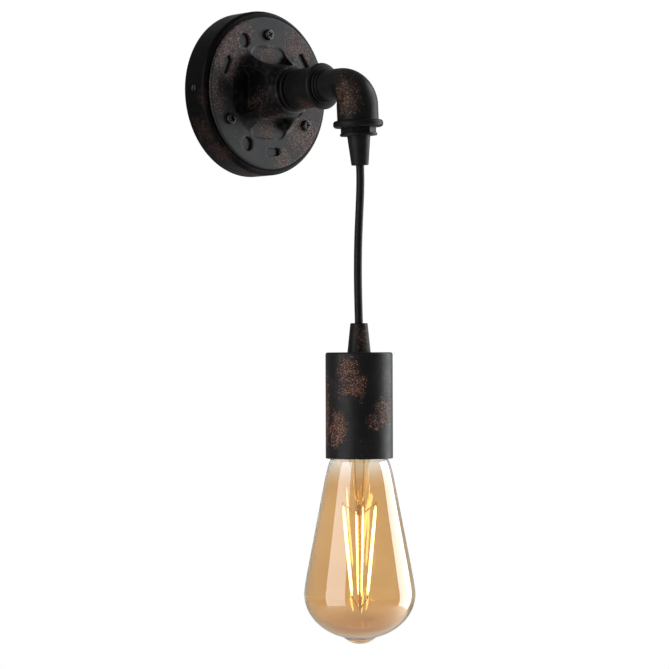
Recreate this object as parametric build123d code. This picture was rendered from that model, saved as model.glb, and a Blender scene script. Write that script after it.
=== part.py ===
from build123d import *
from math import acos, asin, cos, degrees, pi, radians, sin, tan
import os

# A pipe wall light: a round canopy on the wall, a cast face plate with a scalloped hub,
# a short pipe and an elbow, and a lampholder that hangs from the elbow on a short cord.
#
# Frame, in millimetres: the wall is the plane y = 0 and the light stands out along -Y.
# +Z is up and +X is to the right of someone who faces the wall. The origin is the centre
# of the canopy's back. Heights of the canopy's pieces are measured out from the wall.

# ---------------------------------------------------------------- driving dimensions

# Fits
thread_clearance = 0.10      # radial, between a male thread and its female, both left plain
hole_clearance = 0.25        # radial, between a screw or a cord and the hole it passes
through = 200.0              # longer than any piece, for a hole that goes all the way through one
seat_gap = 0.10              # between faces that meet without touching
body_gap = 0.25              # between the lamp's screw cap and the socket's contact

# Canopy pan, a pressed steel dish
pan_radius = 49.5
pan_depth = 17.2
pan_wall = 1.2
pan_edge_radius = 2.4

# Wall bracket, a bent steel strap behind the pan
strap_width = 20.0
strap_thickness = 1.5
ear_width = 12.0
ear_rise = 13.5
wall_slot_spacing = 60.0
wall_slot_length = 14.0
wall_slot_width = 4.5
cable_hole_radius = 4.0

# Side screws, which hold the pan on the bracket's ears
side_screw_radius = 2.0
side_screw_length = 7.0
side_screw_height = 8.6
side_screw_stands_out = 0.5
screw_slot_width = 0.8
screw_slot_depth = 0.9

# Face plate with its hub
face_radius = 45.9
face_thickness = 1.8
face_edge_radius = 0.6
hub_base_radius = 27.0
hub_base_fillet = 4.0
hub_shoulder_radius = 15.3
hub_shoulder_height = 17.5
collar_radius = 14.6
collar_length = 5.6
collar_edge_radius = 0.7
pocket_count = 4
pocket_length = 27.6         # round the hub, of each scallop cut down into its side
pocket_width = 12.4
pocket_circle_radius = 21.6
pocket_sink = 0.6
face_pattern_count = 3
face_hole_radius = 4.2
face_hole_circle_radius = 35.6
face_hole_angle = 122.0
face_slot_length = 11.5
face_slot_width = 4.6
face_slot_angle = 156.0

# Face screws and their nuts
face_screw_circle_radius = 35.1
face_screw_angle = 90.0
face_screw_radius = 2.0
face_screw_head_radius = 3.3
face_screw_head_height = 2.1
face_screw_crown = 0.9
face_screw_tail = 0.8
cross_length = 3.8
cross_width = 1.0
cross_depth = 1.3
cross_turn = 30.0            # degrees, how the recess stands
nut_flats = 7.0
nut_height = 3.2

# Hollow threaded nipple down the middle of the pipe
nipple_radius = 5.0
nipple_bore_radius = 3.6
nipple_back_height = 10.8
nipple_reach_into_elbow = 8.0
washer_radius = 10.0
washer_thickness = 1.0
locknut_flats = 16.0
locknut_height = 3.0

# Pipe coupling between the hub and the elbow
coupling_radius = 12.0
coupling_length = 22.4
coupling_bead_radius = 13.0
coupling_bead_length = 2.6
coupling_edge_radius = 0.9
coupling_groove_depth = 0.7
coupling_groove_width = 0.9

# Elbow
elbow_reach = 95.1           # from the wall to the axis of its outlet
elbow_bend_radius = 13.5
elbow_inlet_radius = 9.2
elbow_outlet_radius = 12.05
elbow_lean = 3.3             # degrees that it is screwed on past plumb
inlet_ring_rise = 0.9        # each of these stands out from the one before it
inlet_ring_length = 1.2
inlet_step_rise = 1.2
inlet_step_length = 1.5
inlet_band_rise = 2.4
inlet_band_length = 4.0
outlet_band_rise = 2.5
outlet_band_drop = 22.2      # from the pipe axis down to the band
outlet_band_length = 4.2
outlet_throat_fillet = 0.4
band_edge_radius = 1.7
ring_edge_radius = 0.5
elbow_bore_radius = 4.4
elbow_sections = 7

# Hex bush under the elbow
bush_flats = 18.0
bush_hex_height = 3.4
bush_turn = 25.0             # degrees, how the hexagon happens to stand
bush_chamfer = 0.5
bush_flange_radius = 10.8
bush_flange_height = 1.4
bush_flange_edge_radius = 0.4
bush_spigot_radius = 8.0
bush_spigot_length = 7.0

# Cord grips, one above the cord and one below
grip_wide_radius = 6.75
grip_narrow_radius = 5.0
upper_grip_length = 17.0
lower_grip_length = 16.9
grip_edge_radius = 0.5
grip_thread_length = 7.0
collet_radius = 3.8
collet_length = 9.0

# Cord
cord_radius = 2.35
cord_visible_length = 91.4   # from the upper grip's mouth down to the lower grip's
cord_tail = 3.0              # that goes into the lower grip
slack = 0.02                 # sideways, so that no two runs of a cord are quite in line
neck_drop = 6.0              # from the upper grip's mouth to where the cord bends sideways
elbow_of_cord_drop = 40.0    # from the upper grip's mouth to where it bends out from the wall
# Where the cord lies, as (x, drop below the upper grip's mouth). Between the two bends:
neck_points = [(2.8, 16.5), (2.05, 28.5)]
# and below them, down to the lower grip:
tail_points = [(0.85, 52.5), (0.75, 65.0), (1.0, 78.0)]
second_bend_x = 1.3

# Lampholder
pendant_x = 1.5              # where the lampholder hangs, beside the canopy's centre line
cup_radius = 19.45
cup_length = 61.2
cup_wall = 0.9
cup_top_radius = 1.2
cup_lip_radius = 0.4
holder_nipple_length = 19.0
holder_washer_radius = 8.0
holder_nut_flats = 14.0
dome_radius = 17.4
dome_length = 25.0
dome_wall = 2.0
dome_top = 4.5
dome_shoulder_radius = 3.0
dome_inner_radius = 1.5
insert_thickness = 8.0
insert_chamber_radius = 10.0
skirt_length = 23.0
skirt_edge_radius = 1.0
shell_radius = 13.95
shell_wall = 0.4
shell_length = 22.0
contact_width = 6.0
contact_length = 16.0
contact_thickness = 0.5
contact_clearance = 1.0      # from the contact's ends to the screw shell
holder_screw_radius = 2.2
holder_shank_radius = 1.3
holder_crown_radius = 0.4
holder_screw_height = 2.2
holder_screw_offset = 8.0

# Lamp, a pear-shaped squirrel-cage style bulb with a 27 mm screw cap
bulb_radius = 32.1
bulb_length = 137.5
bulb_belly_drop = 108.7      # from the tip of the cap's contact to the widest place
bulb_bottom_depth = 26.0     # from the widest place to the bottom of the round end
pip_radius = 9.4             # of the small round end where the glass was sealed off
glass_wall = 0.9
neck_radius = 12.4
neck_in_cap = 6.0            # how far the glass reaches up inside the cap
shoulder_drop = 0.3          # from the cap's rim to the corner that the glass's shoulder rounds
# The straight flank of the glass, as (radius, drop below the contact's tip) at its two ends
flank_top = (20.3, 44.1)
flank_bottom = (29.2, 90.2)
cap_radius = 12.95
cap_wall = 0.35
cap_length = 22.6
cap_shoulder_radius = 8.6
cap_shoulder_height = 1.6
cap_edge_radius = 0.8
insulator_tip_radius = 4.9
insulator_height = 2.3
contact_radius = 4.5
contact_height = 1.0
contact_edge_radius = 0.6
stem_in_cap = 3.0
# The stem below the rim of its flare, as (radius, drop below that rim)
stem_curve = [(4.8, 14.0), (4.2, 24.0), (2.4, 39.0)]
stem_tip = (1.8, 40.0)
filament_count = 4
filament_radius = 0.9
filament_top_radius = 9.8
filament_bottom_radius = 4.4
filament_top_drop = 55.5
filament_length = 56.5
filament_turn = -32.0        # degrees, how the cage happens to stand
support_wire_radius = 0.35
centre_wire_radius = 0.6
wire_in_stem = 6.0
arm_drop = 1.2               # from the stem's tip to the wires that carry the sticks
wire_in_stick = 1.2
hook_drop = 6.5

# Wiring inside the pan
sheath_end_height = 12.0
core_radius = 1.1
core_spread = 1.3            # from the sheath's middle to a core's
# Where each core runs between the sheath and its terminal, as (x, out from the wall, z)
live_route = [(0.8, 8.0, -1.0), (5.0, 6.0, 2.5), (7.3, 6.3, 9.0), (9.6, 6.7, 13.6), (12.8, 6.9, 14.0)]
neutral_route = [(0.7, 8.0, 1.5), (2.2, 6.2, 7.5), (4.6, 6.5, 14.5), (10.4, 6.8, 18.6), (16.8, 6.9, 18.0)]
earth_route = [(-1.5, 8.0, 0.2), (-3.4, 4.6, 0.3)]
core_last_run = 5.0          # straight into the terminal
block_width = 13.0
block_length = 17.0
block_rise = 10.5
block_corner_radius = 1.0
block_offset = 17.0
pole_spacing = 6.4
pole_radius = 2.1
pole_bore_radius = 1.45
pole_length = 14.0
pole_height = 5.4
pole_screw_radius = 1.4
pole_screw_inset = 4.0
block_screw_radius = 0.7
block_screw_head_radius = 1.4
block_screw_head_height = 0.8
earth_offset = 14.5
earth_screw_radius = 1.9
earth_head_radius = 3.6
earth_head_height = 2.0
earth_head_crown = 0.6
earth_ring_radius = 4.2
earth_ring_thickness = 0.8
barrel_radius = 1.6          # of the crimped barrel on the ring terminal
barrel_length = 4.0
barrel_bore_radius = 1.2
barrel_root = 0.4            # how far the barrel starts inside the ring's edge
barrel_lead = 0.6            # of straight core before the barrel

# ---------------------------------------------------------------- worked-out places

face_height = pan_depth + face_thickness
hub_top = face_height + hub_shoulder_height
collar_top = hub_top + collar_length
elbow_start = collar_top + coupling_length
inlet_ring_end = elbow_start + inlet_band_length + inlet_step_length + inlet_ring_length
inlet_ring_radius = elbow_inlet_radius + inlet_ring_rise
inlet_step_radius = inlet_ring_radius + inlet_step_rise
inlet_band_radius = inlet_step_radius + inlet_band_rise
outlet_band_radius = elbow_outlet_radius + outlet_band_rise
bend_start = elbow_reach - elbow_bend_radius
band_bottom = outlet_band_drop + outlet_band_length
bush_bottom = band_bottom + bush_hex_height + bush_flange_height
grip_mouth = bush_bottom + upper_grip_length     # drop below the pipe axis
screw_angles = [face_screw_angle + 360 / 3 * k for k in range(3)]
thread_bore = nipple_radius + thread_clearance
cord_bore = cord_radius + hole_clearance
pan_inside = pan_radius - pan_wall

lean = Rot(0, -elbow_lean, 0)
onto_wall = Rot(90, 0, 0)    # a piece drawn standing on the ground is turned onto the wall


def on_lean(drop):
    """The point on the leaning outlet's axis at a drop below the pipe axis."""
    return Vector(drop * tan(radians(elbow_lean)), -elbow_reach, -drop)


def below_mouth(x, drop):
    """A point of the hanging cord."""
    return Vector(x, -elbow_reach, -grip_mouth - drop)


first_bend = on_lean(grip_mouth + neck_drop)
second_bend = below_mouth(second_bend_x, elbow_of_cord_drop)
lower_grip_top = -grip_mouth - cord_visible_length
cup_top = lower_grip_top - lower_grip_length
cup_bottom = cup_top - cup_length
locknut_top = cup_top - cup_wall - washer_thickness
dome_crown = locknut_top - locknut_height - seat_gap
insert_bottom = dome_crown - dome_length
insert_top = insert_bottom + insert_thickness
contact_bottom = insert_bottom - contact_thickness
bulb_tip = contact_bottom - body_gap             # top of the lamp's centre contact
insulator_top = bulb_tip - contact_height
cap_top = insulator_top - insulator_height
cap_bottom = cap_top - cap_length
belly = bulb_tip - bulb_belly_drop
filament_top = bulb_tip - filament_top_drop
filament_bottom = filament_top - filament_length
stem_top = cap_bottom + stem_in_cap
stem_end = stem_top - stem_tip[1]

# ---------------------------------------------------------------- shared shapes


def turned(outline):
    """A solid turned about Z from (radius, height) corners; a third number rounds that corner."""
    face = make_face(Plane.XZ * Polyline(*[corner[:2] for corner in outline], close=True))
    for radius, height, rounding in [corner for corner in outline if len(corner) == 3]:
        sharp = face.vertices().sort_by_distance((radius, 0, height))[0]
        face = fillet(sharp, rounding)
    return revolve(face, Axis.Z)


def turned_edges(*edges):
    """A solid turned about Z from edges that enclose a (radius, height) outline."""
    return revolve(Plane.XZ * make_face(edges), Axis.Z)


def tube(outer, inner, low, high):
    return turned([(inner, low), (outer, low), (outer, high), (inner, high)])


def rod(radius, start, end):
    """A straight round bar between two points."""
    axis = Vector(*end) - Vector(*start)
    base = Plane(origin=start, z_dir=axis)
    return extrude(base * Circle(radius), axis.length)


def hex_nut(flats, height, bore):
    body = extrude(RegularPolygon(flats / 2, 6, major_radius=False), height)
    return body - Cylinder(bore, through)


def around(count, radius, first_angle):
    """Places on a circle in the ground plane, each turned to face outwards."""
    return [Rot(0, 0, first_angle + 360 / count * k) * Pos(radius, 0, 0) for k in range(count)]


def flexible(points, radius):
    """A cord's tube: straight runs joined by arcs as large as each pair of runs allows."""
    points = [Vector(*point) for point in points]
    runs = [b - a for a, b in zip(points, points[1:])]
    radii = []
    for before, after in zip(runs, runs[1:]):
        half_turn = radians(before.get_angle(after)) / 2
        radii.append(0.45 * min(before.length, after.length) / tan(half_turn))
    path = FilletPolyline(*points, radius=radii)
    solid = sweep(Plane(origin=points[0], z_dir=runs[0]) * Circle(radius), path=path)
    expected = pi * radius ** 2 * path.length
    print("cord radii", [round(r, 1) for r in radii], "length", round(path.length, 2),
          "volume over section times length", round(solid.volume / expected, 5))
    return solid


# ---------------------------------------------------------------- canopy


def wall_bracket():
    ear_reach = (pan_inside ** 2 - (strap_width / 2) ** 2) ** 0.5 - hole_clearance
    strap = Pos(0, 0, strap_thickness / 2) * Box(2 * ear_reach, strap_width, strap_thickness)
    for side in (-1, 1):
        ear = Box(strap_thickness, ear_width, ear_rise)
        strap += Pos(side * (ear_reach - strap_thickness / 2), 0, ear_rise / 2) * ear
        slot = extrude(SlotOverall(wall_slot_length, wall_slot_width), strap_thickness, both=True)
        strap -= Pos(side * wall_slot_spacing / 2, 0, 0) * slot
    side_thread = Rot(0, 90, 0) * Cylinder(side_screw_radius + thread_clearance, through)
    strap -= Pos(0, 0, side_screw_height) * side_thread
    strap -= Cylinder(cable_hole_radius, through)
    strap -= Pos(block_offset, 0, 0) * Cylinder(block_screw_radius + thread_clearance, through)
    strap -= Pos(-earth_offset, 0, 0) * Cylinder(earth_screw_radius + thread_clearance, through)
    return onto_wall * strap


def canopy_pan():
    nipple_hole = nipple_radius + hole_clearance
    inner_rounding = pan_edge_radius - pan_wall
    pan = turned([
        (pan_radius, 0),
        (pan_radius, pan_depth, pan_edge_radius),
        (nipple_hole, pan_depth),
        (nipple_hole, pan_depth - pan_wall),
        (pan_inside, pan_depth - pan_wall, inner_rounding),
        (pan_inside, 0),
    ])
    for place in around(len(screw_angles), face_screw_circle_radius, face_screw_angle):
        pan -= place * Cylinder(face_screw_radius + hole_clearance, through)
    side_hole = Rot(0, 90, 0) * Cylinder(side_screw_radius + hole_clearance, through)
    return onto_wall * (pan - Pos(0, 0, side_screw_height) * side_hole)


def side_screw(side):
    """A headless slotted screw through the pan's rim into an ear of the bracket."""
    screw = Cylinder(side_screw_radius, side_screw_length)
    slot = Box(screw_slot_width, 4 * side_screw_radius, 2 * screw_slot_depth)
    screw -= Pos(0, 0, side_screw_length / 2) * slot
    centre = pan_radius + side_screw_stands_out - side_screw_length / 2
    return onto_wall * (Pos(side * centre, 0, side_screw_height) * Rot(0, side * 90, 0) * screw)


def face_plate():
    bore = nipple_radius + hole_clearance
    plate = turned([
        (bore, pan_depth),
        (face_radius, pan_depth),
        (face_radius, face_height, face_edge_radius),
        (hub_base_radius, face_height, hub_base_fillet),
        (hub_shoulder_radius, hub_top),
        (collar_radius, hub_top),
        (collar_radius, collar_top, collar_edge_radius),
        (bore, collar_top),
    ])
    floor = face_height - pocket_sink
    pocket = extrude(SlotOverall(pocket_length, pocket_width, rotation=90), hub_top - floor)
    for place in around(pocket_count, pocket_circle_radius, 0):
        plate -= Pos(0, 0, floor) * place * pocket
    for place in around(face_pattern_count, face_hole_circle_radius, face_hole_angle):
        plate -= place * Cylinder(face_hole_radius, through)
    slot = extrude(SlotOverall(face_slot_length, face_slot_width, rotation=90), through)
    for place in around(face_pattern_count, face_hole_circle_radius, face_slot_angle):
        plate -= place * slot
    for place in around(len(screw_angles), face_screw_circle_radius, face_screw_angle):
        plate -= place * Cylinder(face_screw_radius + hole_clearance, through)
    return onto_wall * plate


def face_screw(angle):
    """A domed head with a cross recess, and a shank through the plate, the pan and its nut."""
    tail = pan_depth - pan_wall - nut_height - face_screw_tail
    crown = face_height + face_screw_head_height
    screw = turned([
        (0, tail),
        (face_screw_radius, tail),
        (face_screw_radius, face_height),
        (face_screw_head_radius, face_height),
        (face_screw_head_radius, crown, face_screw_crown),
        (0, crown),
    ])
    cross = Box(cross_length, cross_width, 2 * cross_depth) + Box(cross_width, cross_length, 2 * cross_depth)
    screw -= Pos(0, 0, crown) * Rot(0, 0, cross_turn) * cross
    return onto_wall * (Rot(0, 0, angle) * Pos(face_screw_circle_radius, 0, 0) * screw)


def face_nut(angle):
    nut = hex_nut(nut_flats, nut_height, face_screw_radius + thread_clearance)
    seat = pan_depth - pan_wall - nut_height
    return onto_wall * (Rot(0, 0, angle) * Pos(face_screw_circle_radius, 0, seat) * nut)


# ---------------------------------------------------------------- pipe


def threaded_nipple():
    front = elbow_start + nipple_reach_into_elbow
    return onto_wall * tube(nipple_radius, nipple_bore_radius, nipple_back_height, front)


def nipple_washer():
    top = pan_depth - pan_wall
    return onto_wall * tube(washer_radius, nipple_radius + hole_clearance, top - washer_thickness, top)


def nipple_locknut():
    seat = pan_depth - pan_wall - washer_thickness - locknut_height
    return onto_wall * (Pos(0, 0, seat) * hex_nut(locknut_flats, locknut_height, thread_bore))


def pipe_coupling():
    bead_end = collar_top + coupling_bead_length
    groove_end = bead_end + coupling_groove_width
    groove_radius = coupling_radius - coupling_groove_depth
    return onto_wall * turned([
        (thread_bore, collar_top),
        (coupling_bead_radius, collar_top, coupling_edge_radius),
        (coupling_bead_radius, bead_end, coupling_edge_radius),
        (groove_radius, bead_end),
        (groove_radius, groove_end),
        (coupling_radius, groove_end),
        (coupling_radius, elbow_start),
        (thread_bore, elbow_start),
    ])


def elbow_bend():
    """The bend of the elbow, whose round section grows from its inlet to its outlet."""
    centre = Vector(0, -bend_start, -elbow_bend_radius)
    sections = []
    for k in range(elbow_sections):
        share = k / (elbow_sections - 1)
        angle = radians(90 * share)
        growth = share * share * (3 - 2 * share)
        radius = elbow_inlet_radius + (elbow_outlet_radius - elbow_inlet_radius) * growth
        middle = centre + Vector(0, -sin(angle), cos(angle)) * elbow_bend_radius
        onward = Vector(0, -cos(angle), -sin(angle))
        sections.append(Plane(origin=middle, x_dir=(1, 0, 0), z_dir=onward) * Circle(radius))
    return loft(sections)


def elbow():
    step_start = elbow_start + inlet_band_length
    ring_start = step_start + inlet_step_length
    inlet = onto_wall * turned([
        (0, elbow_start),
        (inlet_band_radius, elbow_start, band_edge_radius),
        (inlet_band_radius, step_start, band_edge_radius),
        (inlet_step_radius, step_start),
        (inlet_step_radius, ring_start, ring_edge_radius),
        (inlet_ring_radius, ring_start),
        (inlet_ring_radius, inlet_ring_end, ring_edge_radius),
        (elbow_inlet_radius, inlet_ring_end),
        (elbow_inlet_radius, bend_start),
        (0, bend_start),
    ])
    outlet = Pos(0, -elbow_reach, 0) * turned([
        (0, -elbow_bend_radius),
        (elbow_outlet_radius, -elbow_bend_radius),
        (elbow_outlet_radius, -outlet_band_drop, outlet_throat_fillet),
        (outlet_band_radius, -outlet_band_drop, band_edge_radius),
        (outlet_band_radius, -band_bottom, band_edge_radius),
        (0, -band_bottom),
    ])
    body = inlet + elbow_bend() + outlet
    passage_line = FilletPolyline(
        (0, -elbow_start + 1, 0),
        (0, -elbow_reach, 0),
        (0, -elbow_reach, -band_bottom - 1),
        radius=elbow_bend_radius,
    )
    mouth = Plane(origin=(0, -elbow_start + 1, 0), z_dir=(0, -1, 0))
    passage = sweep(mouth * Circle(elbow_bore_radius), path=passage_line)
    inlet_socket = onto_wall * tube(
        thread_bore, 0, elbow_start - 1, elbow_start + nipple_reach_into_elbow + seat_gap)
    spigot_end = -band_bottom + bush_spigot_length + seat_gap
    outlet_socket = Pos(0, -elbow_reach, 0) * tube(
        bush_spigot_radius + thread_clearance, 0, -band_bottom - 1, spigot_end)
    return lean * (body - passage - inlet_socket - outlet_socket)


def hex_bush():
    hexagon = extrude(RegularPolygon(bush_flats / 2, 6, major_radius=False), -bush_hex_height)
    trim = bush_flats / 3 ** 0.5
    crowned = turned([
        (0, 0),
        (trim - bush_chamfer, 0),
        (trim, -bush_chamfer),
        (trim, -bush_hex_height),
        (0, -bush_hex_height),
    ])
    bush = Rot(0, 0, bush_turn) * (hexagon & crowned)
    bush += turned([
        (0, -bush_hex_height),
        (bush_flange_radius, -bush_hex_height),
        (bush_flange_radius, -bush_hex_height - bush_flange_height, bush_flange_edge_radius),
        (0, -bush_hex_height - bush_flange_height),
    ])
    bush += Pos(0, 0, bush_spigot_length / 2) * Cylinder(bush_spigot_radius, bush_spigot_length)
    bush -= Cylinder(thread_bore, through)
    return lean * (Pos(0, -elbow_reach, -band_bottom) * bush)


def upper_cord_grip():
    """A cone whose threaded end goes up into the bush, with a collet round the cord."""
    grip = turned([
        (0, grip_thread_length),
        (nipple_radius, grip_thread_length),
        (nipple_radius, 0),
        (grip_wide_radius, 0),
        (grip_narrow_radius, -upper_grip_length, grip_edge_radius),
        (0, -upper_grip_length),
    ])
    grip -= Cylinder(cord_bore, through)
    pocket_top = grip_thread_length
    pocket_bottom = grip_thread_length - collet_length - seat_gap
    grip -= tube(collet_radius + thread_clearance, 0, pocket_bottom, pocket_top + 1)
    return lean * (Pos(0, -elbow_reach, -bush_bottom) * grip)


def collet():
    """A nylon sleeve that grips the cord in the upper cone."""
    top = grip_thread_length
    sleeve = tube(collet_radius, cord_radius + seat_gap, top - collet_length, top)
    return lean * (Pos(0, -elbow_reach, -bush_bottom) * sleeve)


# ---------------------------------------------------------------- wiring in the canopy


def inner_cord():
    """The cord's sheath from inside the pan, through nipple and elbow, to just under the grip."""
    bend_drop = (grip_mouth + neck_drop) / cos(radians(elbow_lean))
    stub_drop = bend_drop - cord_radius - seat_gap
    start = (0, -sheath_end_height, 0)
    line = FilletPolyline(
        start,
        (0, -elbow_reach, 0),
        (0, -elbow_reach, -stub_drop),
        radius=elbow_bend_radius,
    )
    return lean * sweep(Plane(origin=start, z_dir=(0, -1, 0)) * Circle(cord_radius), path=line)


def terminal_block():
    block = Pos(0, 0, block_rise / 2) * Box(block_width, block_length, block_rise)
    block = fillet(block.edges().filter_by(Axis.Z), block_corner_radius)
    block -= Cylinder(block_screw_radius + thread_clearance, through)
    for side in (-1, 1):
        pole_hole = Rot(90, 0, 0) * Cylinder(pole_radius + seat_gap, through)
        block -= Pos(side * pole_spacing / 2, 0, pole_height) * pole_hole
        for end in (-1, 1):
            well = Cylinder(pole_screw_radius + hole_clearance, 2 * block_rise)
            place = Pos(side * pole_spacing / 2, end * pole_screw_inset, pole_height + block_rise)
            block -= place * well
    return onto_wall * (Pos(block_offset, 0, strap_thickness) * block)


def terminal_pole(side):
    pole = Rot(90, 0, 0) * Cylinder(pole_radius, pole_length)
    pole -= Rot(90, 0, 0) * Cylinder(pole_bore_radius, through)
    for end in (-1, 1):
        thread = Cylinder(pole_screw_radius + thread_clearance, pole_height)
        pole -= Pos(0, end * pole_screw_inset, pole_height / 2) * thread
    x = block_offset + side * pole_spacing / 2
    return onto_wall * (Pos(x, 0, strap_thickness + pole_height) * pole)


def terminal_screw(side, end):
    length = block_rise - pole_height - seat_gap
    screw = Cylinder(pole_screw_radius, length)
    screw -= Pos(0, 0, length / 2) * Box(screw_slot_width, 4 * pole_screw_radius, screw_slot_depth)
    x = block_offset + side * pole_spacing / 2
    height = strap_thickness + pole_height + length / 2
    return onto_wall * (Pos(x, end * pole_screw_inset, height) * screw)


def block_screw():
    top = strap_thickness + block_rise
    shank = tube(block_screw_radius, 0, seat_gap, top)
    head = tube(block_screw_head_radius, 0, top, top + block_screw_head_height)
    return onto_wall * (Pos(block_offset, 0, 0) * (shank + head))


def earth_screw():
    seat = strap_thickness + earth_ring_thickness
    crown = seat + earth_head_height
    screw = turned([
        (0, seat_gap),
        (earth_screw_radius, seat_gap),
        (earth_screw_radius, seat),
        (earth_head_radius, seat),
        (earth_head_radius, crown, earth_head_crown),
        (0, crown),
    ])
    screw -= Pos(0, 0, crown) * Box(screw_slot_width, 4 * earth_head_radius, 2 * screw_slot_depth)
    return onto_wall * (Pos(-earth_offset, 0, 0) * screw)


def earth_ring():
    """The ring terminal on the end of the earth core."""
    ring = Cylinder(earth_ring_radius, earth_ring_thickness)
    ring = Pos(0, 0, strap_thickness + earth_ring_thickness / 2) * ring
    start = earth_ring_radius - barrel_root
    along = Plane(origin=(start, 0, strap_thickness + barrel_radius), z_dir=(1, 0, 0))
    ring += extrude(along * Circle(barrel_radius), barrel_length)
    ring -= extrude(along * Circle(barrel_bore_radius), barrel_length)
    ring -= Cylinder(earth_screw_radius + hole_clearance, through)
    return onto_wall * (Pos(-earth_offset, 0, 0) * ring)


def core(angle, route, ends):
    """One insulated core from the end of the sheath, at an angle round it, to its terminal."""
    x = core_spread * cos(radians(angle))
    z = core_spread * sin(radians(angle))
    leaves = (x, -sheath_end_height + seat_gap, z)
    between = [(px, -out, pz) for px, out, pz in route]
    return flexible([leaves] + between + ends, core_radius)


def core_to_pole(angle, route, side):
    x = block_offset + side * pole_spacing / 2
    y = -strap_thickness - pole_height
    mouth = block_length / 2 + core_last_run / 2
    ends = [(x, y, mouth), (x + slack, y, mouth - core_last_run)]
    return core(angle, route, ends)


def live_core():
    return core_to_pole(-60, live_route, -1)


def neutral_core():
    return core_to_pole(60, neutral_route, 1)


def earth_core():
    y = -strap_thickness - barrel_radius
    barrel_end = -earth_offset + earth_ring_radius - barrel_root
    ends = [(barrel_end + barrel_length + barrel_lead, y, 0), (barrel_end + seat_gap, y, slack)]
    return core(180, earth_route, ends)


# ---------------------------------------------------------------- hanging cord


def cord_upper():
    """From the sideways bend down to the outward bend, with a ball end in the first."""
    points = [first_bend] + [below_mouth(*point) for point in neck_points] + [second_bend]
    last_run = (points[-1] - points[-2]).normalized()
    points[-1] = points[-1] - last_run * (cord_radius + seat_gap)
    return flexible(points, cord_radius) + Pos(*first_bend) * Sphere(cord_radius)


def cord_lower():
    """From the outward bend down into the lower grip."""
    points = [second_bend] + [below_mouth(*point) for point in tail_points]
    points.append(Vector(pendant_x - slack, -elbow_reach, lower_grip_top))
    points.append(Vector(pendant_x, -elbow_reach, lower_grip_top - cord_tail))
    return flexible(points, cord_radius) + Pos(*second_bend) * Sphere(cord_radius)


# ---------------------------------------------------------------- lampholder


def hanging(piece):
    """Puts a piece drawn about the Z axis on the pendant's own axis."""
    return Pos(pendant_x, -elbow_reach, 0) * piece


def lower_cord_grip():
    grip = turned([
        (0, lower_grip_top),
        (grip_narrow_radius, lower_grip_top, grip_edge_radius),
        (grip_wide_radius, cup_top),
        (0, cup_top),
    ])
    grip -= tube(cord_bore, 0, cup_top - 1, lower_grip_top + 1)
    grip -= tube(thread_bore, 0, cup_top - 1, cup_top + grip_thread_length)
    return hanging(grip)


def holder_nipple():
    top = cup_top + grip_thread_length - seat_gap
    return hanging(tube(nipple_radius, nipple_bore_radius, top - holder_nipple_length, top))


def lampholder_cup():
    hole = nipple_radius + hole_clearance
    inside = cup_radius - cup_wall
    return hanging(turned([
        (hole, cup_top),
        (cup_radius, cup_top, cup_top_radius),
        (cup_radius, cup_bottom, cup_lip_radius),
        (inside, cup_bottom, cup_lip_radius),
        (inside, cup_top - cup_wall),
        (hole, cup_top - cup_wall),
    ]))


def holder_washer():
    top = cup_top - cup_wall
    return hanging(tube(holder_washer_radius, nipple_radius + hole_clearance, top - washer_thickness, top))


def holder_locknut():
    nut = hex_nut(holder_nut_flats, locknut_height, thread_bore)
    return hanging(Pos(0, 0, locknut_top - locknut_height) * nut)


def holder_dome():
    """The insulating cap of the lampholder, screwed onto the nipple."""
    return hanging(turned([
        (thread_bore, dome_crown),
        (dome_radius, dome_crown, dome_shoulder_radius),
        (dome_radius, insert_bottom),
        (dome_radius - dome_wall, insert_bottom),
        (dome_radius - dome_wall, dome_crown - dome_top, dome_inner_radius),
        (thread_bore, dome_crown - dome_top),
    ]))


def holder_insert():
    """The insulating plug that carries the terminals, the contact and the screw shell."""
    radius = dome_radius - dome_wall - seat_gap
    insert = tube(radius, 0, insert_bottom, insert_top)
    insert -= Pos(0, 0, insert_top) * Cylinder(insert_chamber_radius / 2, insert_thickness)
    for side in (-1, 1):
        hole = Cylinder(holder_shank_radius + thread_clearance, insert_thickness)
        insert -= Pos(side * holder_screw_offset, 0, insert_top) * hole
    return hanging(insert)


def holder_screw(side):
    """A terminal screw on top of the insert."""
    crown = insert_top + holder_screw_height
    tail = insert_top - insert_thickness / 2 + seat_gap
    screw = turned([
        (0, tail),
        (holder_shank_radius, tail),
        (holder_shank_radius, insert_top),
        (holder_screw_radius, insert_top),
        (holder_screw_radius, crown, holder_crown_radius),
        (0, crown),
    ])
    screw -= Pos(0, 0, crown) * Box(screw_slot_width, 4 * holder_screw_radius, 2 * screw_slot_depth)
    return hanging(Pos(side * holder_screw_offset, 0, 0) * screw)


def screw_shell():
    """The brass shell that the lamp screws into, left plain inside."""
    hole = contact_length / 2 + contact_clearance
    inside = shell_radius - shell_wall
    bottom = insert_bottom - shell_length
    return hanging(turned([
        (hole, insert_bottom),
        (shell_radius, insert_bottom),
        (shell_radius, bottom),
        (inside, bottom),
        (inside, insert_bottom - shell_wall),
        (hole, insert_bottom - shell_wall),
    ]))


def holder_skirt():
    """The insulating sleeve round the screw shell."""
    top = insert_bottom - seat_gap
    inner = shell_radius + seat_gap
    bottom = top - skirt_length
    lip = shell_radius - shell_wall
    return hanging(turned([
        (inner, top),
        (dome_radius, top),
        (dome_radius, bottom, skirt_edge_radius),
        (lip, bottom),
        (lip, insert_bottom - shell_length - seat_gap),
        (inner, insert_bottom - shell_length - seat_gap),
    ]))


def socket_contact():
    strip = Box(contact_length, contact_width, contact_thickness)
    return hanging(Pos(0, 0, insert_bottom - contact_thickness / 2) * strip)


# ---------------------------------------------------------------- lamp


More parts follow.
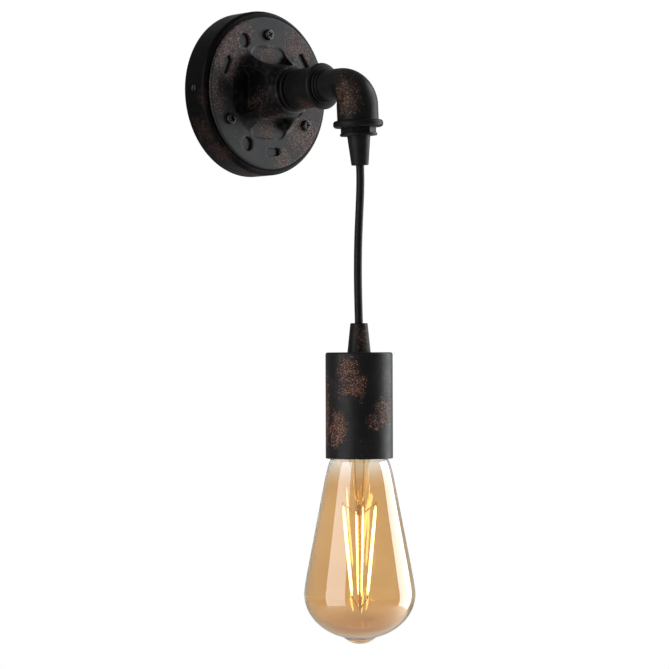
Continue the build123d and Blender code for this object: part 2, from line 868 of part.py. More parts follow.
def bulb_contact():
    return hanging(turned([
        (0, insulator_top),
        (contact_radius, insulator_top),
        (contact_radius, bulb_tip, contact_edge_radius),
        (0, bulb_tip),
    ]))


def bulb_insulator():
    """The black glass between the cap and its centre contact."""
    return hanging(turned([
        (0, cap_top),
        (cap_shoulder_radius - cap_wall, cap_top),
        (insulator_tip_radius, insulator_top),
        (0, insulator_top),
    ]))


def bulb_cap():
    shoulder = cap_top - cap_shoulder_height
    return hanging(turned([
        (cap_shoulder_radius, cap_top),
        (cap_radius, shoulder, cap_edge_radius),
        (cap_radius, cap_bottom),
        (cap_radius - cap_wall, cap_bottom),
        (cap_radius - cap_wall, shoulder, cap_edge_radius - cap_wall),
        (cap_shoulder_radius - cap_wall, cap_top),
    ]))


def glass_side(inset):
    """The glass's curve from inside the cap down to the belly, drawn in by an inset."""
    lean_in = (flank_bottom[0] - flank_top[0]) / (flank_bottom[1] - flank_top[1])

    def on_flank(drop):
        return (flank_top[0] + (drop - flank_top[1]) * lean_in - inset, bulb_tip - drop)

    neck = (neck_radius - inset, cap_bottom)
    widest = bulb_radius - inset
    belly_corner_drop = flank_bottom[1] + (bulb_radius - flank_bottom[0]) / lean_in
    shoulder_corner = on_flank(bulb_tip - cap_bottom + shoulder_drop)
    return [
        Line((neck[0], cap_bottom + neck_in_cap), neck),
        Bezier(neck, shoulder_corner, on_flank(flank_top[1])),
        Line(on_flank(flank_top[1]), on_flank(flank_bottom[1])),
        Bezier(on_flank(flank_bottom[1]), (widest, bulb_tip - belly_corner_drop), (widest, belly)),
    ]


def bulb_glass():
    """The blown glass, with the small round end where it was sealed off left solid."""
    inner_radius = bulb_radius - glass_wall
    inner_depth = bulb_bottom_depth - glass_wall
    pip_bottom = bulb_tip - bulb_length
    root_angle = acos(pip_radius / bulb_radius)
    root = belly - bulb_bottom_depth * sin(root_angle)
    ball_radius = (pip_radius ** 2 + (root - pip_bottom) ** 2) / (2 * (root - pip_bottom))
    halfway = asin(pip_radius / ball_radius) / 2
    pip_middle = (ball_radius * sin(halfway), pip_bottom + ball_radius * (1 - cos(halfway)))
    centre = (0, belly)
    turn = degrees(root_angle)
    rim = cap_bottom + neck_in_cap
    return hanging(turned_edges(
        *glass_side(0),
        EllipticalCenterArc(centre, bulb_radius, bulb_bottom_depth, start_angle=-turn, arc_size=turn),
        ThreePointArc((pip_radius, root), pip_middle, (0, pip_bottom)),
        Line((0, pip_bottom), (0, belly - inner_depth)),
        EllipticalCenterArc(centre, inner_radius, inner_depth, start_angle=-90, arc_size=90),
        *glass_side(glass_wall),
        Line((neck_radius - glass_wall, rim), (neck_radius, rim)),
    ))


def bulb_stem():
    """The glass stem: a flare sealed into the neck, narrowing to the mount of the cage."""
    flare = (neck_radius - glass_wall - seat_gap, stem_top)
    curve = [(radius, stem_top - drop) for radius, drop in stem_curve]
    tip = (stem_tip[0], stem_end)
    stem = hanging(turned_edges(
        Line((0, stem_top), flare),
        Spline(flare, *curve),
        Line(curve[-1], tip),
        Line(tip, (0, stem_end)),
        Line((0, stem_end), (0, stem_top)),
    ))
    return stem - cage_frame()


def cage_point(k, radius, z):
    angle = radians(filament_turn + 360 / filament_count * k)
    return (radius * cos(angle), radius * sin(angle), z)


def stick_point(k, along):
    """A point on the axis of a lit stick, at a distance below its top."""
    share = along / filament_length
    radius = filament_top_radius + (filament_bottom_radius - filament_top_radius) * share
    return cage_point(k, radius, filament_top - along)


def filament(k):
    """One straight lit stick of the cage, which leans in towards the bottom."""
    return hanging(rod(filament_radius, stick_point(k, 0), stick_point(k, filament_length)))


def cage_frame():
    """The wire mount of the sticks: a centre wire, with arms at the top and hooks at the bottom."""
    hub_z = filament_bottom - hook_drop
    frame = rod(centre_wire_radius, (0, 0, stem_end + wire_in_stem), (0, 0, hub_z))
    for k in range(filament_count):
        frame += rod(support_wire_radius, (0, 0, stem_end - arm_drop), stick_point(k, wire_in_stick))
        lower_end = stick_point(k, filament_length - wire_in_stick)
        frame += rod(support_wire_radius, (0, 0, hub_z + support_wire_radius), lower_end)
    frame = hanging(frame)
    for k in range(filament_count):
        frame -= filament(k)
    return frame


# ---------------------------------------------------------------- all the pieces

nodes = {
    "wall_bracket": wall_bracket(),
    "canopy_pan": canopy_pan(),
    "side_screw_left": side_screw(-1),
    "side_screw_right": side_screw(1),
    "face_plate": face_plate(),
    "threaded_nipple": threaded_nipple(),
    "nipple_washer": nipple_washer(),
    "nipple_locknut": nipple_locknut(),
    "pipe_coupling": pipe_coupling(),
    "elbow": elbow(),
    "hex_bush": hex_bush(),
    "upper_cord_grip": upper_cord_grip(),
    "collet": collet(),
    "inner_cord": inner_cord(),
    "terminal_block": terminal_block(),
    "block_screw": block_screw(),
    "earth_screw": earth_screw(),
    "earth_ring": earth_ring(),
    "live_core": live_core(),
    "neutral_core": neutral_core(),
    "earth_core": earth_core(),
    "cord_upper": cord_upper(),
    "cord_lower": cord_lower(),
    "lower_cord_grip": lower_cord_grip(),
    "holder_nipple": holder_nipple(),
    "lampholder_cup": lampholder_cup(),
    "holder_washer": holder_washer(),
    "holder_locknut": holder_locknut(),
    "holder_dome": holder_dome(),
    "holder_insert": holder_insert(),
    "screw_shell": screw_shell(),
    "holder_skirt": holder_skirt(),
    "socket_contact": socket_contact(),
    "bulb_contact": bulb_contact(),
    "bulb_insulator": bulb_insulator(),
    "bulb_cap": bulb_cap(),
    "bulb_glass": bulb_glass(),
    "bulb_stem": bulb_stem(),
    "cage_frame": cage_frame(),
}
for number, angle in enumerate(screw_angles, start=1):
    nodes[f"face_screw_{number}"] = face_screw(angle)
    nodes[f"face_nut_{number}"] = face_nut(angle)
for name, side in (("live", -1), ("neutral", 1)):
    nodes[f"terminal_pole_{name}"] = terminal_pole(side)
    nodes[f"holder_screw_{name}"] = holder_screw(side)
    for level, end in (("upper", 1), ("lower", -1)):
        nodes[f"terminal_screw_{name}_{level}"] = terminal_screw(side, end)
for k in range(filament_count):
    nodes[f"filament_{k + 1}"] = filament(k)

os.makedirs("parts", exist_ok=True)
for name, solid in nodes.items():
    export_step(solid, f"parts/{name}.step")
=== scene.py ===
"""The looks of a pipe wall light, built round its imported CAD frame.

The wall is the plane y = 0 and the light stands out along -Y. Units are metres, +Z is up,
and the frame's origin is the centre of the canopy's back. The sponge's prints and the
cord's route are listed in millimetres. Colours are written linear.
"""

import math

import bmesh
import bpy
from mathutils import Matrix, Vector


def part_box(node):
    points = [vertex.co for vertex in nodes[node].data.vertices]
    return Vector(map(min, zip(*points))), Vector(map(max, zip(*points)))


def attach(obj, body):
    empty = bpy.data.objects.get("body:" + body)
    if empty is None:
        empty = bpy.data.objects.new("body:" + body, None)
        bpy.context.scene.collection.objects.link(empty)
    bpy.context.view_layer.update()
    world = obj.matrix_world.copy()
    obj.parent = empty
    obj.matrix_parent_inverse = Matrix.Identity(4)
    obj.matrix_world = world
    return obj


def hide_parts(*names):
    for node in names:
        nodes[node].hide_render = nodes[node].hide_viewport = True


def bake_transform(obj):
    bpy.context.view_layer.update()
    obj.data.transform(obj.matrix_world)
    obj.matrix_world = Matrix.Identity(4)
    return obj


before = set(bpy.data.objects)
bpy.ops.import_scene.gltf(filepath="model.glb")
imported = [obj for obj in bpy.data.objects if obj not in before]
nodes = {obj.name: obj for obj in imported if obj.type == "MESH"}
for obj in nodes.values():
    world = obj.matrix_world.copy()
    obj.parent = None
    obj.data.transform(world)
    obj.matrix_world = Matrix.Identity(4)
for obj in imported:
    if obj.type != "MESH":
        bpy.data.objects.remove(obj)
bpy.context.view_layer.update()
MM = 0.001

# ------------------------------------------------------------------ canopy pan
# A pressed steel dish that stands against the wall and hides the bracket. Like all the
# metal outside it is sprayed near-black in satin, and while the coat was wet, copper and
# rust colours were dabbed on with a coarse sponge. Here only its rim caught a little.

pan_low, pan_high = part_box("canopy_pan")
pan_wall = 1.2 * MM
pan_face_radius = 44.5 * MM
pan_face_fade = 1.0 * MM
just_past = 0.1 * MM


def feed(tree, value, socket):
    """Gives a socket a plain value, or links another node's output to it."""
    if isinstance(value, bpy.types.NodeSocket):
        tree.links.new(value, socket)
    else:
        socket.default_value = value


def made_node(tree, kind, **inputs):
    """A new node, with the inputs given by their labels."""
    node = tree.nodes.new(kind)
    for label, value in inputs.items():
        feed(tree, value, node.inputs[label])
    return node


def worked(tree, operation, a, b=0.5):
    """A Math node whose inputs are numbers or other nodes' outputs."""
    node = tree.nodes.new("ShaderNodeMath")
    node.operation = operation
    feed(tree, a, node.inputs[0])
    feed(tree, b, node.inputs[1])
    return node.outputs[0]


def worked_vector(tree, operation, *values, **named):
    """A Vector Math node, with its inputs in their order or by their labels."""
    node = tree.nodes.new("ShaderNodeVectorMath")
    node.operation = operation
    for socket, value in zip(node.inputs, values):
        feed(tree, value, socket)
    for label, value in named.items():
        feed(tree, value, node.inputs[label])
    return node.outputs["Value" if operation == "LENGTH" else "Vector"]


def clouds(tree, place, scale, detail=2.0, roughness=0.5, output="Fac"):
    """Cloudy noise, with so many cells to the metre."""
    noise = made_node(tree, "ShaderNodeTexNoise",
                      Vector=place, Scale=scale, Detail=detail, Roughness=roughness)
    return noise.outputs[output]


def eased(tree, value, low, high, to_low=0.0, to_high=1.0):
    """A value taken from one range to another with soft ends."""
    node = tree.nodes.new("ShaderNodeMapRange")
    node.interpolation_type = "SMOOTHSTEP"
    for label, number in (("Value", value), ("From Min", low), ("From Max", high),
                          ("To Min", to_low), ("To Max", to_high)):
        feed(tree, number, node.inputs[label])
    return node.outputs["Result"]


def two_tone(tree, share, a, b):
    """A mix of two colours, each a tuple or another node's output."""
    node = tree.nodes.new("ShaderNodeMix")
    node.data_type = "RGBA"
    feed(tree, share, node.inputs["Factor"])
    for colour, socket in ((a, node.inputs[6]), (b, node.inputs[7])):
        feed(tree, (*colour, 1.0) if isinstance(colour, tuple) else colour, socket)
    return node.outputs[2]


def shader_group(name, inputs, outputs):
    """A new shader node group, with (label, kind, value) inputs and (label, kind) outputs."""
    group = bpy.data.node_groups.new(name, "ShaderNodeTree")
    for label, kind, value in inputs:
        socket = group.interface.new_socket(label, in_out="INPUT", socket_type=f"NodeSocket{kind}")
        socket.default_value = value
    for label, kind in outputs:
        group.interface.new_socket(label, in_out="OUTPUT", socket_type=f"NodeSocket{kind}")
    return group, group.nodes.new("NodeGroupInput").outputs, group.nodes.new("NodeGroupOutput").inputs


def sponge_print_group():
    """The reach of one dab of the sponge: strong in its middle and ragged at its edge."""
    group, inside, outside = shader_group(
        "Sponge Print",
        [("Vector", "Vector", (0, 0, 0)), ("Centre", "Vector", (0, 0, 0)),
         ("Radius", "Float", 0.01), ("Height", "Float", 1.0)],
        [("Mask", "Float")])
    rag_scale = 260.0
    rag_depth = 1.3
    full_within = 0.95
    gone_beyond = 1.75
    away = worked_vector(group, "SUBTRACT", inside["Vector"], inside["Centre"])
    x, y, z = made_node(group, "ShaderNodeSeparateXYZ", Vector=away).outputs
    level = worked(group, "DIVIDE", z, inside["Height"])
    squeezed = made_node(group, "ShaderNodeCombineXYZ", X=x, Y=y, Z=level).outputs[0]
    share = worked(group, "DIVIDE", worked_vector(group, "LENGTH", squeezed), inside["Radius"])
    ragged = worked(group, "MULTIPLY", clouds(group, inside["Vector"], rag_scale, detail=3.0), rag_depth)
    reach = worked(group, "ADD", share, ragged)
    feed(group, eased(group, reach, full_within, gone_beyond, 1.0, 0.0), outside["Mask"])
    return group


def sponge_dots_group():
    """The dots that the sponge left: round specks, fewer where its print is weak."""
    group, inside, outside = shader_group(
        "Sponge Dots",
        [("Vector", "Vector", (0, 0, 0)), ("Mask", "Float", 1.0), ("Scale", "Float", 1000.0)],
        [("Dots", "Float"), ("Shade", "Float"), ("Film", "Float")])
    wander_scale = 700.0
    wander_reach = 0.8 * MM
    smallest_dot = 0.24
    dot_variety = 0.32
    film_scale = 480.0
    wander = clouds(group, inside["Vector"], wander_scale, output="Color")
    nudged = worked_vector(group, "MULTIPLY_ADD", wander, (wander_reach,) * 3, inside["Vector"])
    cells = made_node(group, "ShaderNodeTexVoronoi", Vector=nudged, Scale=inside["Scale"]).outputs
    chance = made_node(group, "ShaderNodeSeparateColor", Color=cells["Color"]).outputs
    present = eased(group, worked(group, "ADD", chance["Red"], inside["Mask"]), 0.98, 1.2)
    size = worked(group, "ADD", worked(group, "MULTIPLY", chance["Blue"], dot_variety), smallest_dot)
    speck = eased(group, worked(group, "SUBTRACT", cells["Distance"], size), -0.08, 0.2, 1.0, 0.0)
    feed(group, worked(group, "MULTIPLY", present, speck), outside["Dots"])
    feed(group, worked(group, "POWER", chance["Green"], 1.4), outside["Shade"])
    thin = eased(group, clouds(group, inside["Vector"], film_scale, detail=3.0), 0.35, 0.65, 0.4, 1.0)
    feed(group, worked(group, "MULTIPLY", thin, inside["Mask"]), outside["Film"])
    return group


def grouped(tree, group, place, **values):
    """A shader group in a material's tree, reading the place and set to the values given."""
    node = tree.nodes.new("ShaderNodeGroup")
    node.node_tree = group
    feed(tree, place, node.inputs["Vector"])
    for label, value in values.items():
        feed(tree, value, node.inputs[label])
    return node.outputs


def new_finish(name):
    """A new material, with its tree, its shader and the place on the piece."""
    material = bpy.data.materials.new(name)
    material.use_nodes = True
    tree = material.node_tree
    place = tree.nodes.new("ShaderNodeTexCoord").outputs["Object"]
    return material, tree, tree.nodes["Principled BSDF"], place


def uneven(tree, shader, height, depth):
    """Gives the finish a real unevenness, of a depth in metres."""
    bump = made_node(tree, "ShaderNodeBump", Distance=depth, Height=height)
    feed(tree, bump.outputs["Normal"], shader.inputs["Normal"])


# Each of the sponge's colours is a pair: its darkest dots, then its palest.
COPPER = ((0.034, 0.010, 0.006), (0.46, 0.235, 0.150))
DULL_RUST = ((0.018, 0.008, 0.006), (0.085, 0.040, 0.028))
# The near-black of painted shade, laid where shade falls on the face plate's hub.
PAINTED_SHADE_BLACK = (0.0016, 0.0016, 0.0017)
sponge_print = sponge_print_group()
sponge_dots = sponge_dots_group()


def sponged_paint(name, prints, everywhere=0.0, rust=COPPER, dots=2200.0, paint=0.003, satin=0.42,
                  film=0.55, gloss=0.12, painted_shade=(), pale_face=None):
    """The near-black coat. Prints are (centre, radius, height share, strength), in millimetres.

    Painted shade is listed in the same way: its dabs hide the prints and blacken the coat where shade falls.
    The pan
    has a pale face: the (tone, gloss) of its flat front and its inside."""
    material, tree, shader, place = new_finish(name)
    prints_left_in_painted_shade = 0.3
    painted_shade_gloss_share = 0.25
    relief = 0.05 * MM

    def dabbed(mask, dabs):
        for centre, radius, height, strength in dabs:
            dab = grouped(tree, sponge_print, place, Centre=Vector(centre) * MM,
                          Radius=radius * MM, Height=height)
            mask = worked(tree, "MAXIMUM", mask, worked(tree, "MULTIPLY", dab["Mask"], strength))
        return mask

    scatter = eased(tree, clouds(tree, place, 42.0, detail=4.0), 0.44, 0.70, 0.0, everywhere)
    mask = dabbed(scatter, prints)
    # Painted shade: its dabs weaken the sponge's prints beneath them.
    if painted_shade:
        shade_mask = dabbed(0.0, painted_shade)
        mask = worked(tree, "MULTIPLY", mask, eased(tree, shade_mask, 0.0, 1.0, 1.0, prints_left_in_painted_shade))
    sponge = grouped(tree, sponge_dots, place, Mask=mask, Scale=dots)
    dark, pale = rust
    thin_coat, thick_coat = [tuple(paint * part for part in tint)
                             for tint in ((1.0, 0.96, 0.95), (1.75, 1.62, 1.58))]
    thickness = eased(tree, clouds(tree, place, 60.0, detail=3.0), 0.38, 0.66)
    coat = two_tone(tree, thickness, thin_coat, thick_coat)
    if pale_face:
        tone, face_gloss = pale_face
        x, y, z = made_node(tree, "ShaderNodeSeparateXYZ", Vector=place).outputs
        squares = [worked(tree, "POWER", worked(tree, "ABSOLUTE", part), 2.0) for part in (x, z)]
        out = worked(tree, "SQRT", worked(tree, "ADD", *squares))
        in_ring = eased(tree, out, pan_face_radius - pan_face_fade, pan_face_radius + pan_face_fade, 1.0, 0.0)
        in_front = worked(tree, "LESS_THAN", y, pan_low.y + 2 * just_past)
        within_rim = worked(tree, "LESS_THAN", out, pan_high.z - pan_wall + just_past)
        behind_front = worked(tree, "GREATER_THAN", y, pan_low.y + pan_wall - just_past)
        lighter = worked(tree, "MAXIMUM", worked(tree, "MULTIPLY", in_ring, in_front),
                         worked(tree, "MULTIPLY", within_rim, behind_front))
        coat = two_tone(tree, lighter, coat, (tone, tone, 1.03 * tone))
        feed(tree, eased(tree, lighter, 0.0, 1.0, gloss, face_gloss), shader.inputs["Specular IOR Level"])
    # Painted shade: the dabs turn the coat near-black and take most of its gloss.
    if painted_shade:
        coat = two_tone(tree, shade_mask, coat, PAINTED_SHADE_BLACK)
        gloss_in_painted_shade = eased(tree, shade_mask, 0.0, 1.0, gloss, painted_shade_gloss_share * gloss)
        feed(tree, gloss_in_painted_shade, shader.inputs["Specular IOR Level"])
    filmed = two_tone(tree, worked(tree, "MULTIPLY", sponge["Film"], film), coat, dark)
    copper = two_tone(tree, sponge["Shade"], dark, pale)
    feed(tree, two_tone(tree, sponge["Dots"], filmed, copper), shader.inputs["Base Color"])
    cloudy = eased(tree, clouds(tree, place, 150.0, detail=4.0), 0.3, 0.7, satin - 0.05, satin + 0.06)
    matt = worked(tree, "MULTIPLY", sponge["Film"], 0.16)
    feed(tree, worked(tree, "ADD", cloudy, matt), shader.inputs["Roughness"])
    shader.inputs["Specular IOR Level"].default_value = gloss
    skin = clouds(tree, place, 520.0, detail=3.0, roughness=0.6)
    raised = worked(tree, "MULTIPLY", sponge["Dots"], 0.6)
    uneven(tree, shader, worked(tree, "ADD", skin, raised), relief)
    return material


def dressed(finish, *names):
    """CAD nodes that keep their own shape and get a finish."""
    for name in names:
        nodes[name].data.materials.clear()
        nodes[name].data.materials.append(finish)


pan_paint = sponged_paint("pan paint", [
    ((-42, -8, -24), 9, 1.6, 0.55),
    ((-31, -12, -37), 11, 1.0, 0.7),
    ((-8, -9, -49), 12, 1.0, 0.75),
    ((-49, -15, -6), 5, 2.0, 0.45),
    ((36, -10, 33), 11, 1.0, 0.7),
    ((47, -7, -13), 9, 1.3, 0.6),
    ((6, -12, 49), 9, 1.0, 0.55),
], everywhere=0.12, rust=DULL_RUST, paint=0.0018, satin=0.33, gloss=0.05, pale_face=(0.013, 0.2))
dressed(pan_paint, "canopy_pan")

# ------------------------------------------------------------------ wall bracket and side screws
# A zinc-plated steel strap with two bent ears, screwed to the wall. A headless slotted
# screw of blackened steel goes through the pan's rim into each ear.


def metal(name, colour, worn, roughness):
    """Bare or plated metal, clouded by handling."""
    material, tree, shader, place = new_finish(name)
    cloud_scale = 180.0
    relief = 0.01 * MM
    handled = eased(tree, clouds(tree, place, cloud_scale, detail=4.0), 0.32, 0.68)
    fine = clouds(tree, place, 6.0 * cloud_scale, detail=3.0)
    feed(tree, two_tone(tree, handled, colour, worn), shader.inputs["Base Color"])
    shader.inputs["Metallic"].default_value = 1.0
    both = worked(tree, "ADD", handled, fine)
    feed(tree, eased(tree, both, 0.5, 1.5, roughness - 0.06, roughness + 0.12), shader.inputs["Roughness"])
    uneven(tree, shader, fine, relief)
    return material


zinc = metal("zinc plate", (0.52, 0.53, 0.55), (0.66, 0.65, 0.60), 0.34)
rubbed = metal("rubbed screw steel", (0.035, 0.035, 0.035), (0.090, 0.087, 0.084), 0.30)
dressed(zinc, "wall_bracket")
dressed(rubbed, "side_screw_left", "side_screw_right")

# ------------------------------------------------------------------ wiring inside the pan
# A white nylon terminal block with brass poles, and the lamp cord's three PVC-covered
# cores: brown and blue go into the block, the earth core to a crimped ring on the bracket.


def moulded(name, colour, other, roughness, scale=400.0):
    """Moulded plastic or an extruded cover: one colour, slightly clouded, with a fine skin."""
    material, tree, shader, place = new_finish(name)
    relief = 0.02 * MM
    tone = eased(tree, clouds(tree, place, 0.3 * scale, detail=3.0), 0.35, 0.65)
    skin = clouds(tree, place, scale, detail=3.0)
    feed(tree, two_tone(tree, tone, colour, other), shader.inputs["Base Color"])
    feed(tree, eased(tree, skin, 0.3, 0.7, roughness - 0.05, roughness + 0.07), shader.inputs["Roughness"])
    uneven(tree, shader, skin, relief)
    return material


brass = metal("brass", (0.64, 0.44, 0.17), (0.46, 0.29, 0.10), 0.28)
tinned = metal("tinned copper", (0.62, 0.60, 0.55), (0.50, 0.47, 0.42), 0.36)
terminal_screws = [f"terminal_screw_{pole}_{level}"
                   for pole in ("live", "neutral") for level in ("upper", "lower")]
dressed(moulded("white nylon", (0.66, 0.65, 0.60), (0.60, 0.58, 0.52), 0.42), "terminal_block")
dressed(brass, "terminal_pole_live", "terminal_pole_neutral")
dressed(zinc, "block_screw", "earth_screw", *terminal_screws)
dressed(tinned, "earth_ring")
dressed(moulded("brown core cover", (0.110, 0.040, 0.016), (0.085, 0.030, 0.012), 0.36), "live_core")
dressed(moulded("blue core cover", (0.020, 0.090, 0.340), (0.016, 0.072, 0.280), 0.36), "neutral_core")
dressed(moulded("earth core cover", (0.100, 0.290, 0.030), (0.560, 0.520, 0.030), 0.36), "earth_core")

# ------------------------------------------------------------------ face plate
# A cast plate with a scalloped hub, bolted over the pan. Its corners are soft from the
# mould, and the sponge covered most of its face in a thin pinkish-copper speckle.

PINK_FILM = ((0.034, 0.019, 0.016), (0.350, 0.205, 0.165))


def in_scene(name, data):
    """A new object in the scene."""
    thing = bpy.data.objects.new(name, data)
    bpy.context.scene.collection.objects.link(thing)
    return thing


def placed(name, mesh, body, *stands_for):
    """Puts a finished mesh on a body, in place of the CAD nodes that it stands for."""
    piece = in_scene(name, mesh)
    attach(piece, body)
    if stands_for:
        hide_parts(*stands_for)


def merged_copy(node):
    """A CAD node's shape as one closed, smoothly shaded mesh."""
    mesh = nodes[node].data.copy()
    shape = bmesh.new()
    shape.from_mesh(mesh)
    bmesh.ops.remove_doubles(shape, verts=shape.verts, dist=0.002 * MM)
    shape.to_mesh(mesh)
    shape.free()
    if "custom_normal" in mesh.attributes:
        mesh.attributes.remove(mesh.attributes["custom_normal"])
    mesh.materials.clear()
    mesh.shade_smooth()
    mesh.set_sharp_from_angle(angle=math.radians(32))
    return mesh


def plain_mesh(holder):
    """What a holder's modifiers make, as a plain mesh. The holder is removed."""
    graph = bpy.context.evaluated_depsgraph_get()
    mesh = bpy.data.meshes.new_from_object(holder.evaluated_get(graph), depsgraph=graph)
    bpy.data.objects.remove(holder)
    return mesh


def softened(node, grain, passes):
    """A CAD node's shape with the soft corners of a casting under paint."""
    holder = in_scene(node, merged_copy(node))
    cast = holder.modifiers.new("cast", "REMESH")
    cast.mode = "VOXEL"
    cast.voxel_size = grain
    cast.use_smooth_shade = True
    soften = holder.modifiers.new("soften", "SMOOTH")
    soften.factor = 0.5
    soften.iterations = passes
    return plain_mesh(holder)


# The second list of dabs is painted shade: the hub's shadowed flanks, its pockets' dark walls and the face
# left of the hub, where the pipe's shadow falls.
plate_paint = sponged_paint("face plate paint", [
    ((-31, -19, 22), 17, 1.4, 0.80),
    ((-40, -19, -4), 9, 1.6, 0.55),
    ((-22, -19, 34), 13, 1.0, 0.75),
    ((0, -20, 22), 9, 1.0, 0.95),
    ((26, -19, 30), 16, 1.0, 0.85),
    ((38, -19, 4), 11, 1.5, 0.6),
    ((0, -20, -22), 9, 1.0, 0.95),
    ((30, -19, -24), 17, 1.0, 0.9),
    ((12, -19, -40), 10, 1.0, 0.85),
    ((-9, -28, -8), 15, 1.0, 0.65),
], everywhere=0.15, rust=PINK_FILM, dots=2150.0, paint=0.011, satin=0.45, film=0.8, gloss=0.2, painted_shade=[
    # Painted shade, blackening the coat where shade falls round the hub.
    ((-14, -25, 4), 21, 0.9, 1.0),
    ((-3, -36, 3), 20, 0.8, 1.0),
    ((3, -33, 14), 14, 0.8, 1.0),
    ((-35, -19, 2), 9, 1.0, 0.7),
    ((-21, -25, 17), 12, 1.0, 1.0),
    ((-20, -26, -12), 12, 1.0, 1.0),
    ((-12, -33, -9), 14, 1.0, 1.0),
    ((15, -23, 19), 9, 1.0, 1.0),
    ((9, -23, -19), 7, 1.0, 1.0),
])
plate = softened("face_plate", grain=0.5 * MM, passes=5)
plate.materials.append(plate_paint)
placed("face_plate_cast", plate, "wall_unit", "face_plate")

# ------------------------------------------------------------------ face screws and their nuts
# Three blackened cross-head screws clamp the plate to the pan. Each goes through both
# into a plated hex nut behind, at even steps round the pipe.


def geometry_tree(name, inputs, result):
    """A new geometry tree, with (label, kind) inputs and one resulting shape."""
    tree = bpy.data.node_groups.new(name, "GeometryNodeTree")
    for label, kind in inputs:
        tree.interface.new_socket(label, in_out="INPUT", socket_type=f"NodeSocket{kind}")
    tree.interface.new_socket(result, in_out="OUTPUT", socket_type="NodeSocketGeometry")
    return tree, tree.nodes.new("NodeGroupInput").outputs, tree.nodes.new("NodeGroupOutput").inputs[result]


def made_real(tree, shape, finish, result):
    """Ends a geometry tree: its copies made real and its material set."""
    real = made_node(tree, "GeometryNodeRealizeInstances", Geometry=shape)
    covered = made_node(tree, "GeometryNodeSetMaterial", Geometry=real.outputs[0], Material=finish)
    feed(tree, covered.outputs[0], result)


def ring_of_copies_tree():
    """A piece repeated at even steps round an axis, with its material set."""
    tree, given, result = geometry_tree("Ring of Copies", [
        ("Piece", "Geometry"), ("Count", "Int"), ("Centre", "Vector"), ("Axis", "Vector"),
        ("Finish", "Material")], "Ring")
    centre, axis, count = given["Centre"], given["Axis"], given["Count"]
    number = tree.nodes.new("GeometryNodeInputIndex").outputs[0]
    turn = worked(tree, "MULTIPLY", worked(tree, "DIVIDE", math.tau, count), number)
    place = made_node(tree, "ShaderNodeVectorRotate", Center=centre, Axis=axis, Angle=turn)
    points = made_node(tree, "GeometryNodePoints", Count=count, Position=place.outputs[0])
    rotation = made_node(tree, "FunctionNodeAxisAngleToRotation", Axis=axis, Angle=turn)
    copies = made_node(tree, "GeometryNodeInstanceOnPoints", Points=points.outputs[0],
                       Instance=given["Piece"], Rotation=rotation.outputs[0])
    made_real(tree, copies.outputs[0], given["Finish"], result)
    return tree


def by_nodes(name, mesh, tree, **values):
    """A mesh after a geometry tree has worked on it, as a plain mesh."""
    holder = in_scene(name, mesh)
    modifier = holder.modifiers.new(name, "NODES")
    modifier.node_group = tree
    for socket in tree.interface.items_tree:
        if socket.in_out == "INPUT" and socket.name in values:
            modifier[socket.identifier] = values[socket.name]
    result = plain_mesh(holder)
    result.name = name
    return result


blackened = metal("blackened screw steel", (0.018, 0.018, 0.018), (0.050, 0.047, 0.045), 0.18)
ring_of_copies = ring_of_copies_tree()
out_of_the_wall = Vector((0, -1, 0))
for name, finish in (("face_screw", blackened), ("face_nut", zinc)):
    ring = by_nodes(f"{name}s", merged_copy(f"{name}_1"), ring_of_copies,
                    Count=3, Centre=Vector(), Axis=out_of_the_wall, Finish=finish)
    placed(f"{name}s", ring, "wall_unit", *[f"{name}_{k}" for k in (1, 2, 3)])

# ------------------------------------------------------------------ threaded nipple
# The hollow steel tube down the middle of the pipe, plated, with a washer and a locknut
# behind the pan. It holds the canopy, the plate and the pipe together.

dressed(zinc, "threaded_nipple", "nipple_washer", "nipple_locknut")

# ------------------------------------------------------------------ pipe coupling
# A turned sleeve between the hub and the elbow, with a bead against the hub. It is sprayed
# like the rest, and the sponge left dark red prints under it and on its right side.

RED_RUST = ((0.030, 0.010, 0.008), (0.130, 0.055, 0.040))
coupling_paint = sponged_paint("coupling paint", [
    ((-4, -58, -11), 8, 0.9, 0.85),
    ((3, -50, -12), 7, 1.0, 0.7),
    ((10, -55, 6), 7, 1.0, 0.7),
], everywhere=0.15, rust=RED_RUST, paint=0.0034, satin=0.36, gloss=0.09)
dressed(coupling_paint, "pipe_coupling")

# ------------------------------------------------------------------ elbow and hex bush
# A cast malleable elbow with rolled bands at its mouths, and the hex bush screwed up
# into it. The sponge left its brightest orange-brown on both sides of the bend.

ORANGE_RUST = ((0.024, 0.013, 0.008), (0.25, 0.148, 0.090))
elbow_paint = sponged_paint("elbow paint", [
    ((-7, -95, -6), 9, 1.0, 0.9),
    ((-8, -98, -13), 9, 1.0, 0.95),
    ((-5, -90, 3), 9, 0.9, 0.3),
    ((11, -92, -6), 8, 1.2, 0.9),
    ((9, -72, 4), 7, 1.0, 0.6),
], everywhere=0.08, rust=ORANGE_RUST, dots=2100.0, satin=0.36, paint=0.005, gloss=0.09)
dressed(elbow_paint, "elbow", "hex_bush")

# ------------------------------------------------------------------ upper cord grip
# A turned cone that screws up into the bush and squeezes a nylon collet on the cord. Its
# coat took hardly any of the sponge.

grip_paint = sponged_paint("upper grip paint", [], everywhere=0.10, paint=0.006, gloss=0.10)
dressed(grip_paint, "upper_cord_grip")
dressed(moulded("black nylon", (0.022, 0.022, 0.022), (0.030, 0.030, 0.030), 0.45), "collet")

# ------------------------------------------------------------------ cord
# One round flexible cord in a smooth black jacket. It leaves the leaning grip, bends back
# under the lamp's weight and hangs into the grip below, made in two stretches split at one height.

cord_radius = 2.35 * MM
cord_route = [
    (2.72, -47.2), (3.125, -54.2), (2.8, -64.7), (2.05, -76.7), (1.3, -88.2),
    (0.85, -100.7), (0.75, -113.2), (1.0, -126.2), (1.48, -139.6), (1.5, -142.6),
]
cord_plane = -95.1
cord_split = -78.0
in_cord_plane = Vector((0, 1, 0))


